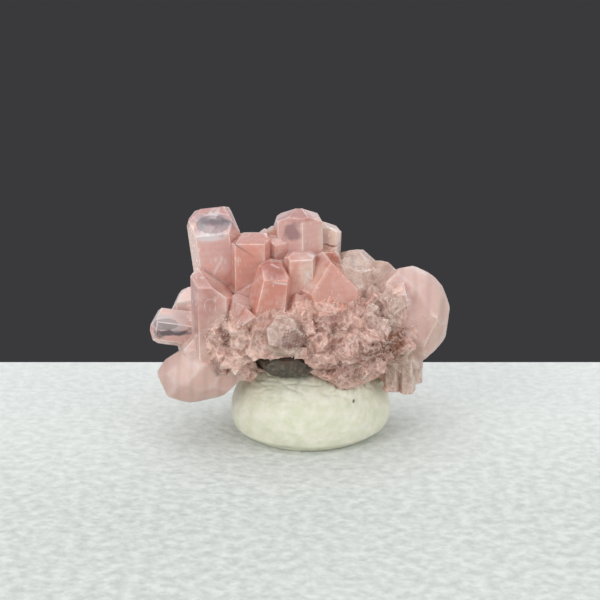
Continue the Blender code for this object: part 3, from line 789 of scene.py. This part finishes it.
@dataclass
class DruseSugar:
    """The small crystals that stand on the druse, grown on the cluster's druse faces."""

    name: str
    per_square: float  # crystals per square millimetre
    smallest: float  # millimetres
    largest: float
    seed: int
    pad_reach: float = 7.2  # none under the cluster within this radius of the putty, in millimetres

    def build(self, cluster: bpy.types.Object) -> bpy.types.Object:
        """Grows the crystals as one mesh.

        Args:
            cluster: The dressed cluster.

        Returns:
            The new piece.
        """
        emitter = self.emitter(cluster)
        modifier = emitter.modifiers.new("sugar", "NODES")
        modifier.node_group = self.tree()
        values = {
            "Density": self.per_square / (MM * MM),
            "Smallest": self.smallest * MM,
            "Largest": self.largest * MM,
            "Seed": self.seed,
            "Finish": cluster.data.materials[Surface.DRUSE.value],
        }
        for item in modifier.node_group.interface.items_tree:
            if item.name in values:
                modifier[item.identifier] = values[item.name]
        graph = bpy.context.evaluated_depsgraph_get()
        mesh = bpy.data.meshes.new_from_object(emitter.evaluated_get(graph))
        bpy.data.objects.remove(emitter)
        mesh.name = self.name
        piece = link_piece(self.name, mesh)
        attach(piece, ROOT)
        return piece

    def emitter(self, cluster: bpy.types.Object) -> bpy.types.Object:
        """The druse faces alone.

        Args:
            cluster: The dressed cluster.

        Returns:
            An object that holds them.
        """
        skin = bmesh.new()
        skin.from_mesh(cluster.data)
        bare = [face for face in skin.faces if face.material_index != Surface.DRUSE.value or self.pressed(face)]
        bmesh.ops.delete(skin, geom=bare, context="FACES")
        mesh = bpy.data.meshes.new("druse_skin")
        skin.to_mesh(mesh)
        skin.free()
        return link_piece("druse_skin", mesh)

    def pressed(self, face: bmesh.types.BMFace) -> bool:
        """Whether a face is pressed into the putty."""
        middle = face.calc_center_median()
        return face.normal.z < 0.1 and middle.z < 7.2 * MM and middle.xy.length < self.pad_reach * MM

    def tree(self) -> bpy.types.NodeTree:
        """Builds the Geometry Nodes: points on the skin, a rhomb on each, made real.

        Returns:
            The tree.
        """
        tree = bpy.data.node_groups.new("grow_sugar", "GeometryNodeTree")
        kinds = {
            "Geometry": "NodeSocketGeometry",
            "Density": "NodeSocketFloat",
            "Smallest": "NodeSocketFloat",
            "Largest": "NodeSocketFloat",
            "Seed": "NodeSocketInt",
            "Finish": "NodeSocketMaterial",
        }
        for name, kind in kinds.items():
            tree.interface.new_socket(name, in_out="INPUT", socket_type=kind)
        tree.interface.new_socket("Geometry", in_out="OUTPUT", socket_type="NodeSocketGeometry")
        given = add(tree, "NodeGroupInput").outputs
        points = add(
            tree,
            "GeometryNodeDistributePointsOnFaces",
            {"Mesh": given["Geometry"], "Density": given["Density"], "Seed": given["Seed"]},
        )
        cube = add(tree, "GeometryNodeMeshCube", {"Size": (1.0, 1.0, 1.0)})
        upright = Vector((1, 1, 1)).rotation_difference(Vector((0, 0, 1))).to_euler()
        sunk = {"Geometry": cube.outputs[0], "Rotation": upright, "Translation": (0.0, 0.0, -0.4)}
        rhomb = add(tree, "GeometryNodeTransform", sunk)
        lean = add(
            tree,
            "FunctionNodeRandomValue",
            {"Min": (-0.6, -0.6, -3.14), "Max": (0.6, 0.6, 3.14), "Seed": given["Seed"]},
            data_type="FLOAT_VECTOR",
        )
        turned = add(
            tree,
            "FunctionNodeRotateRotation",
            {0: points.outputs["Rotation"], 1: lean.outputs[0]},
            rotation_space="LOCAL",
        )
        size = add(
            tree,
            "FunctionNodeRandomValue",
            {"Min": given["Smallest"], "Max": given["Largest"], "Seed": given["Seed"]},
            data_type="FLOAT",
        )
        tall = add(
            tree,
            "FunctionNodeRandomValue",
            {"Min": (0.8, 0.8, 0.8), "Max": (1.2, 1.2, 1.3), "Seed": given["Seed"]},
            data_type="FLOAT_VECTOR",
        )
        scale = add(
            tree, "ShaderNodeVectorMath", {0: tall.outputs[0], "Scale": size.outputs[1]}, operation="SCALE"
        )
        grown = add(
            tree,
            "GeometryNodeInstanceOnPoints",
            {
                "Points": points.outputs["Points"],
                "Instance": rhomb.outputs[0],
                "Rotation": turned.outputs[0],
                "Scale": scale.outputs[0],
            },
        )
        real = add(tree, "GeometryNodeRealizeInstances", {0: grown.outputs[0]})
        dressed = add(tree, "GeometryNodeSetMaterial", {"Geometry": real.outputs[0], "Material": given["Finish"]})
        add(tree, "NodeGroupOutput", {0: dressed.outputs[0]})
        return tree


@dataclass(frozen=True)
class RockFinish:
    """Fine-grained dark host rock, broken and unpolished, with rust in its pores."""

    name: str = "broken_dark_host_rock"
    dark: str = "#49433A"
    light: str = "#6B6151"
    rust: str = "#5E4236"
    grain: float = 0.3  # millimetres

    def material(self) -> bpy.types.Material:
        """Makes the material: grains of two greys, rust patches and a gritty relief.

        Returns:
            The material.
        """
        made, tree, shader = new_material(self.name, Roughness=0.75)
        place = add(tree, "ShaderNodeTexCoord").outputs["Object"]
        grains = add(tree, "ShaderNodeTexNoise", {"Vector": place, "Scale": 1 / (self.grain * MM), "Detail": 5.0})
        share = add(tree, "ShaderNodeMapRange", {"Value": grains.outputs[0], "From Min": 0.4, "From Max": 0.7})
        blend = {0: share.outputs[0], 6: linear(self.dark), 7: linear(self.light)}
        grey = add(tree, "ShaderNodeMix", blend, data_type="RGBA").outputs[2]
        patches = add(tree, "ShaderNodeTexNoise", {"Vector": place, "Scale": 0.8 / MM, "Detail": 3.0})
        span = {"From Min": 0.52, "From Max": 0.68, "To Max": 0.7}
        rusty = add(tree, "ShaderNodeMapRange", {"Value": patches.outputs[0], **span})
        blend = {0: rusty.outputs[0], 6: grey, 7: linear(self.rust)}
        colour = add(tree, "ShaderNodeMix", blend, data_type="RGBA").outputs[2]
        tree.links.new(colour, shader.inputs["Base Color"])
        lift = {"Height": grains.outputs[0], "Strength": 0.4, "Distance": 0.08 * MM}
        tree.links.new(add(tree, "ShaderNodeBump", lift).outputs[0], shader.inputs["Normal"])
        return made


@dataclass(frozen=True)
class PuttyFinish:
    """Mineral tack: a soft ivory putty with a dull waxy skin, thumbed into shape."""

    name: str = "ivory_mineral_tack"
    base: str = "#E6E3D2"
    patch: str = "#D8D8BE"
    roughness: float = 0.5
    speck: Zone = Zone((4.36, -4.2, 4.16), (0.14, 0.3, 0.2), "#4A4038", 0.9, 0.5)

    def material(self) -> bpy.types.Material:
        """Makes the material: faint mottling, painted shade in the creases near the top, a waxy gloss that varies,
        and a fine pimpled relief.

        Returns:
            The material.
        """
        made, tree, shader = new_material(
            self.name,
            Subsurface_Weight=0.25,
            Subsurface_Radius=(1.0, 0.9, 0.7),
            Subsurface_Scale=0.5 * MM,
        )
        place = add(tree, "ShaderNodeTexCoord").outputs["Object"]
        mottle = add(tree, "ShaderNodeTexNoise", {"Vector": place, "Scale": 1.2 / MM, "Detail": 5.0})
        share = add(tree, "ShaderNodeMapRange", {"Value": mottle.outputs[0], "From Min": 0.35, "From Max": 0.65})
        blend = {0: share.outputs[0], 6: linear(self.base), 7: linear(self.patch)}
        colour = add(tree, "ShaderNodeMix", blend, data_type="RGBA").outputs[2]
        high = add(tree, "ShaderNodeSeparateXYZ", {0: place}).outputs["Z"]
        near_top = {"Value": high, "From Min": 3.5 * MM, "From Max": 6.0 * MM, "To Max": 0.8}
        worked = add(tree, "ShaderNodeMapRange", near_top).outputs[0]
        level = add(tree, "ShaderNodeMapping", {"Vector": place, "Scale": (0.45, 0.45, 1.3)}).outputs[0]
        fold = threads(tree, level, 1.1, 0.3)
        fold = add(tree, "ShaderNodeMath", {0: fold, 1: worked}, operation="MULTIPLY").outputs[0]
        # Painted shade: the creases near the top are darkened as well as sunk in the relief.
        faint = add(tree, "ShaderNodeMath", {0: fold, 1: 0.4}, operation="MULTIPLY").outputs[0]
        blend = {0: faint, 6: colour, 7: linear("#A9A78A")}
        colour = add(tree, "ShaderNodeMix", blend, data_type="RGBA").outputs[2]
        colour = self.speck.tint(tree, place, colour)
        tree.links.new(colour, shader.inputs["Base Color"])
        span = {"To Min": self.roughness * 0.8, "To Max": self.roughness * 1.3}
        rough = add(tree, "ShaderNodeMapRange", {"Value": mottle.outputs[0], **span})
        tree.links.new(rough.outputs[0], shader.inputs["Roughness"])
        pimples = add(tree, "ShaderNodeTexNoise", {"Vector": place, "Scale": 1.8 / MM, "Detail": 3.0})
        height = add(tree, "ShaderNodeMath", {0: pimples.outputs[0], 1: fold}, operation="SUBTRACT").outputs[0]
        lift = {"Height": height, "Strength": 0.6, "Distance": 0.22 * MM}
        tree.links.new(add(tree, "ShaderNodeBump", lift).outputs[0], shader.inputs["Normal"])
        return made


@dataclass
class HostRock:
    """The scrap of dark rock that the calcite grew on."""

    splits: int = 24
    depth: float = 0.14  # of the broken relief, in millimetres, always inwards

    def build(self, frame: dict) -> bpy.types.Object:
        """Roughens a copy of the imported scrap.


        Returns:
            The new piece.
        """
        solid = merged_copy(frame, "matrix_rock")
        bmesh.ops.triangulate(solid, faces=solid.faces)
        for _ in range(4):
            long_edges = [edge for edge in solid.edges if edge.calc_length() > 0.3 * MM]
            bmesh.ops.subdivide_edges(solid, edges=long_edges, cuts=1)
            bmesh.ops.triangulate(solid, faces=solid.faces)
        solid.normal_update()
        for vert in solid.verts:
            rough = noise.fractal(vert.co / (0.7 * MM), 0.8, 2.0, 4)
            vert.co -= vert.normal * self.depth * MM * min(1.0, abs(rough) * 1.5)
        for face in solid.faces:
            face.smooth = False
        mesh = bpy.data.meshes.new("host_rock")
        solid.to_mesh(mesh)
        solid.free()
        mesh.materials.append(RockFinish().material())
        piece = link_piece("host_rock", mesh)
        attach(piece, ROOT)
        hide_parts("matrix_rock")
        return piece


@dataclass
class PuttyMound:
    """The thumbed mound of putty, with the cluster's print in its top."""

    voxel: float = 0.13  # millimetres
    dent: float = 0.16  # depth of the broad dents, in millimetres
    crease: float = 0.14  # depth of the creases
    grip: float = 0.4  # how near the crystals the putty clings to them

    def build(self, frame: dict, cluster: bpy.types.Object) -> bpy.types.Object:
        """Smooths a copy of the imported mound, dents it and presses it against the cluster.

        Args:
            cluster: The dressed cluster.

        Returns:
            The new piece.
        """
        solid = merged_copy(frame, "putty_pad")
        mesh = bpy.data.meshes.new("putty_mound")
        solid.to_mesh(mesh)
        solid.free()
        rough = link_piece("putty_rough", mesh)
        modifier = rough.modifiers.new("even", "REMESH")
        modifier.mode = "VOXEL"
        modifier.voxel_size = self.voxel * MM
        smooth = rough.modifiers.new("soft", "SMOOTH")
        smooth.factor, smooth.iterations = 0.5, 4
        graph = bpy.context.evaluated_depsgraph_get()
        made = bpy.data.meshes.new_from_object(rough.evaluated_get(graph))
        bpy.data.objects.remove(rough)
        self.dent_skin(made)
        self.press(made, cluster)
        made.materials.clear()
        made.materials.append(PuttyFinish().material())
        piece = link_piece("putty_mound", made)
        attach(piece, ROOT)
        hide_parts("putty_pad")
        return piece

    def dent_skin(self, mesh: bpy.types.Mesh) -> None:
        """Presses thumb dents and creases into the skin, always inwards, and keeps the foot flat.

        Args:
            mesh: The mound.
        """
        solid = bmesh.new()
        solid.from_mesh(mesh)
        for vert in solid.verts:
            if vert.co.z < 0.15 * MM:
                vert.co.z = max(0.0, vert.co.z)
                continue
            broad = noise.noise(vert.co / (2.2 * MM))
            fine = noise.noise(vert.co / (0.5 * MM) + Vector((7, 3, 1)))
            stretched = Vector((vert.co.x / (2.6 * MM), vert.co.y / (2.6 * MM), vert.co.z / (0.5 * MM)))
            fold = max(0.0, 1 - abs(noise.noise(stretched)) * 9)
            high = min(1.0, max(0.0, (vert.co.z / MM - 3.5) / 2))
            depth = self.dent * max(0.0, broad) + 0.02 * max(0.0, fine) + self.crease * fold * high
            vert.co -= vert.normal * depth * MM
        for face in solid.faces:
            face.smooth = True
        solid.to_mesh(mesh)
        solid.free()


    def press(self, mesh: bpy.types.Mesh, cluster: bpy.types.Object) -> None:
        """Draws the putty up to the crystals that it grips, so that no gap shows.

        Args:
            mesh: The mound.
            cluster: The dressed cluster.
        """
        grip, stop = self.grip * MM, 0.02 * MM
        tree = BVHTree.FromObject(cluster, bpy.context.evaluated_depsgraph_get())
        for vert in mesh.vertices:
            near, _, _, distance = tree.find_nearest(vert.co, grip)
            if near is not None and distance > stop:
                vert.co += (near - vert.co) * (1 - stop / distance)


@dataclass
class Studio:
    """The floor, the lights, the dark surroundings and the camera."""

    surroundings: str = "#3A3A3C"
    glow: float = 0.58  # strength of the light from all round
    floor_back: float = 16.0  # the floor's far edge, in millimetres
    floor_reach: float = 150.0
    distance: float = 116.0
    elevation: float = 18.0
    target: Triple = (0.0, 0.0, 11.4)
    lights: tuple = field(
        default=(
            ("top_box", (0, 5, 200), 180, 0.15),
            ("front_left", (-150, -150, 110), 140, 0.22),
            ("front_right", (170, -130, 80), 140, 0.15),
            ("rear", (60, 170, 90), 90, 0.04),
        )
    )

    def build(self) -> None:
        """Makes everything that isn't the object."""
        scene = bpy.context.scene
        scene.view_settings.view_transform = "Standard"
        world = bpy.data.worlds.new("dark_surroundings")
        scene.world = world
        self.surround(world)
        self.floor()
        for name, place, size, power in self.lights:
            self.light(name, place, size, power)
        self.camera()

    def surround(self, world: bpy.types.World) -> None:
        """Makes the surroundings look dark, straight or through crystal, and still give soft light.

        Args:
            world: The scene's world.
        """
        world.use_nodes = True
        tree = world.node_tree
        seen = tree.nodes["Background"]
        seen.inputs["Color"].default_value = linear(self.surroundings)
        glow = add(tree, "ShaderNodeBackground", {"Color": linear("#F4F8FF"), "Strength": self.glow})
        path = add(tree, "ShaderNodeLightPath").outputs
        looks = {0: path["Is Camera Ray"], 1: path["Is Transmission Ray"]}
        looked_at = add(tree, "ShaderNodeMath", looks, operation="MAXIMUM").outputs[0]
        links = {0: looked_at, 1: glow.outputs[0], 2: seen.outputs[0]}
        mix = add(tree, "ShaderNodeMixShader", links)
        tree.links.new(mix.outputs[0], tree.nodes["World Output"].inputs["Surface"])

    def floor(self) -> None:
        """Lays the pale sheet that the mound stands on."""
        solid = bmesh.new()
        reach = self.floor_reach
        depth = reach + self.floor_back
        bmesh.ops.create_cube(solid, size=1.0)
        bmesh.ops.transform(
            solid,
            matrix=Matrix.Translation(millimetres((0, self.floor_back - depth / 2, -1.02)))
            @ Matrix.Diagonal((2 * reach * MM, depth * MM, 2 * MM, 1)),
            verts=solid.verts,
        )
        mesh = bpy.data.meshes.new("floor")
        solid.to_mesh(mesh)
        solid.free()
        made, tree, shader = new_material("pale_foam_sheet", Roughness=0.9)
        place = add(tree, "ShaderNodeTexCoord").outputs["Object"]
        cells = add(tree, "ShaderNodeTexNoise", {"Vector": place, "Scale": 1.2 / MM, "Detail": 4.0})
        share = add(tree, "ShaderNodeMapRange", {"Value": cells.outputs[0], "From Min": 0.35, "From Max": 0.65})
        blend = {0: share.outputs[0], 6: linear("#C2C6C0"), 7: linear("#D8DBD5")}
        colour = add(tree, "ShaderNodeMix", blend, data_type="RGBA").outputs[2]
        # Painted light: the floor is made lighter towards the back, to even out the light that falls off there.
        along = add(tree, "ShaderNodeSeparateXYZ", {0: place}).outputs["Y"]
        span = {"Value": along, "From Min": -15 * MM, "From Max": 15 * MM, "To Max": 0.5}
        painted_back_light = add(tree, "ShaderNodeMapRange", span).outputs[0]
        blend = {0: painted_back_light, 6: colour, 7: linear("#F2F4F1")}
        colour = add(tree, "ShaderNodeMix", blend, data_type="RGBA").outputs[2]
        tree.links.new(colour, shader.inputs["Base Color"])
        foam = {"Vector": place, "Scale": 1.6 / MM}
        bubbles = add(tree, "ShaderNodeTexVoronoi", foam, feature="F1").outputs["Distance"]
        lift = {"Height": bubbles, "Strength": 0.3, "Distance": 0.3 * MM}
        tree.links.new(add(tree, "ShaderNodeBump", lift).outputs[0], shader.inputs["Normal"])
        mesh.materials.append(made)
        link_piece("floor", mesh)

    def light(self, name: str, place: Triple, size: float, power: float) -> None:
        """Hangs one square soft box, aimed at the cluster.

        Args:
            name: The light's name.
            place: Where it hangs, in millimetres.
            size: Its side, in millimetres.
            power: Its power in watts.
        """
        data = bpy.data.lights.new(name, "AREA")
        data.size = size * MM
        data.energy = power
        lamp = bpy.data.objects.new(name, data)
        lamp.location = millimetres(place)
        lamp.rotation_euler = (millimetres(self.target) - lamp.location).to_track_quat("-Z", "Y").to_euler()
        bpy.context.scene.collection.objects.link(lamp)

    def camera(self) -> None:
        """Sets the camera on the display side, a little above."""
        data = bpy.data.cameras.new("camera")
        data.lens, data.sensor_width, data.clip_start = 85, 36, 1 * MM
        eye = bpy.data.objects.new("camera", data)
        lift = math.radians(self.elevation)
        away = Vector((0, -math.cos(lift), math.sin(lift)))
        eye.location = millimetres(self.target) + away * self.distance * MM
        eye.rotation_euler = (-away).to_track_quat("-Z", "Y").to_euler()
        bpy.context.scene.collection.objects.link(eye)
        bpy.context.scene.camera = eye


def main() -> None:
    """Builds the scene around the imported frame."""
    logging.basicConfig(level=logging.INFO, format="%(message)s")
    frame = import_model()
    cluster = CrystalCluster().build(frame)
    pieces = [
        cluster,
        DruseSugar("druse_rhombs", 0.6, 0.2, 0.36, 11).build(cluster),
        DruseSugar("druse_sugar", 3.0, 0.08, 0.16, 12).build(cluster),
        HostRock().build(frame),
        PuttyMound().build(frame, cluster),
    ]
    for piece in pieces:
        LOG.info("%s: %d faces", piece.name, len(piece.data.polygons))
    Studio().build()


if __name__ == "__main__":
    main()
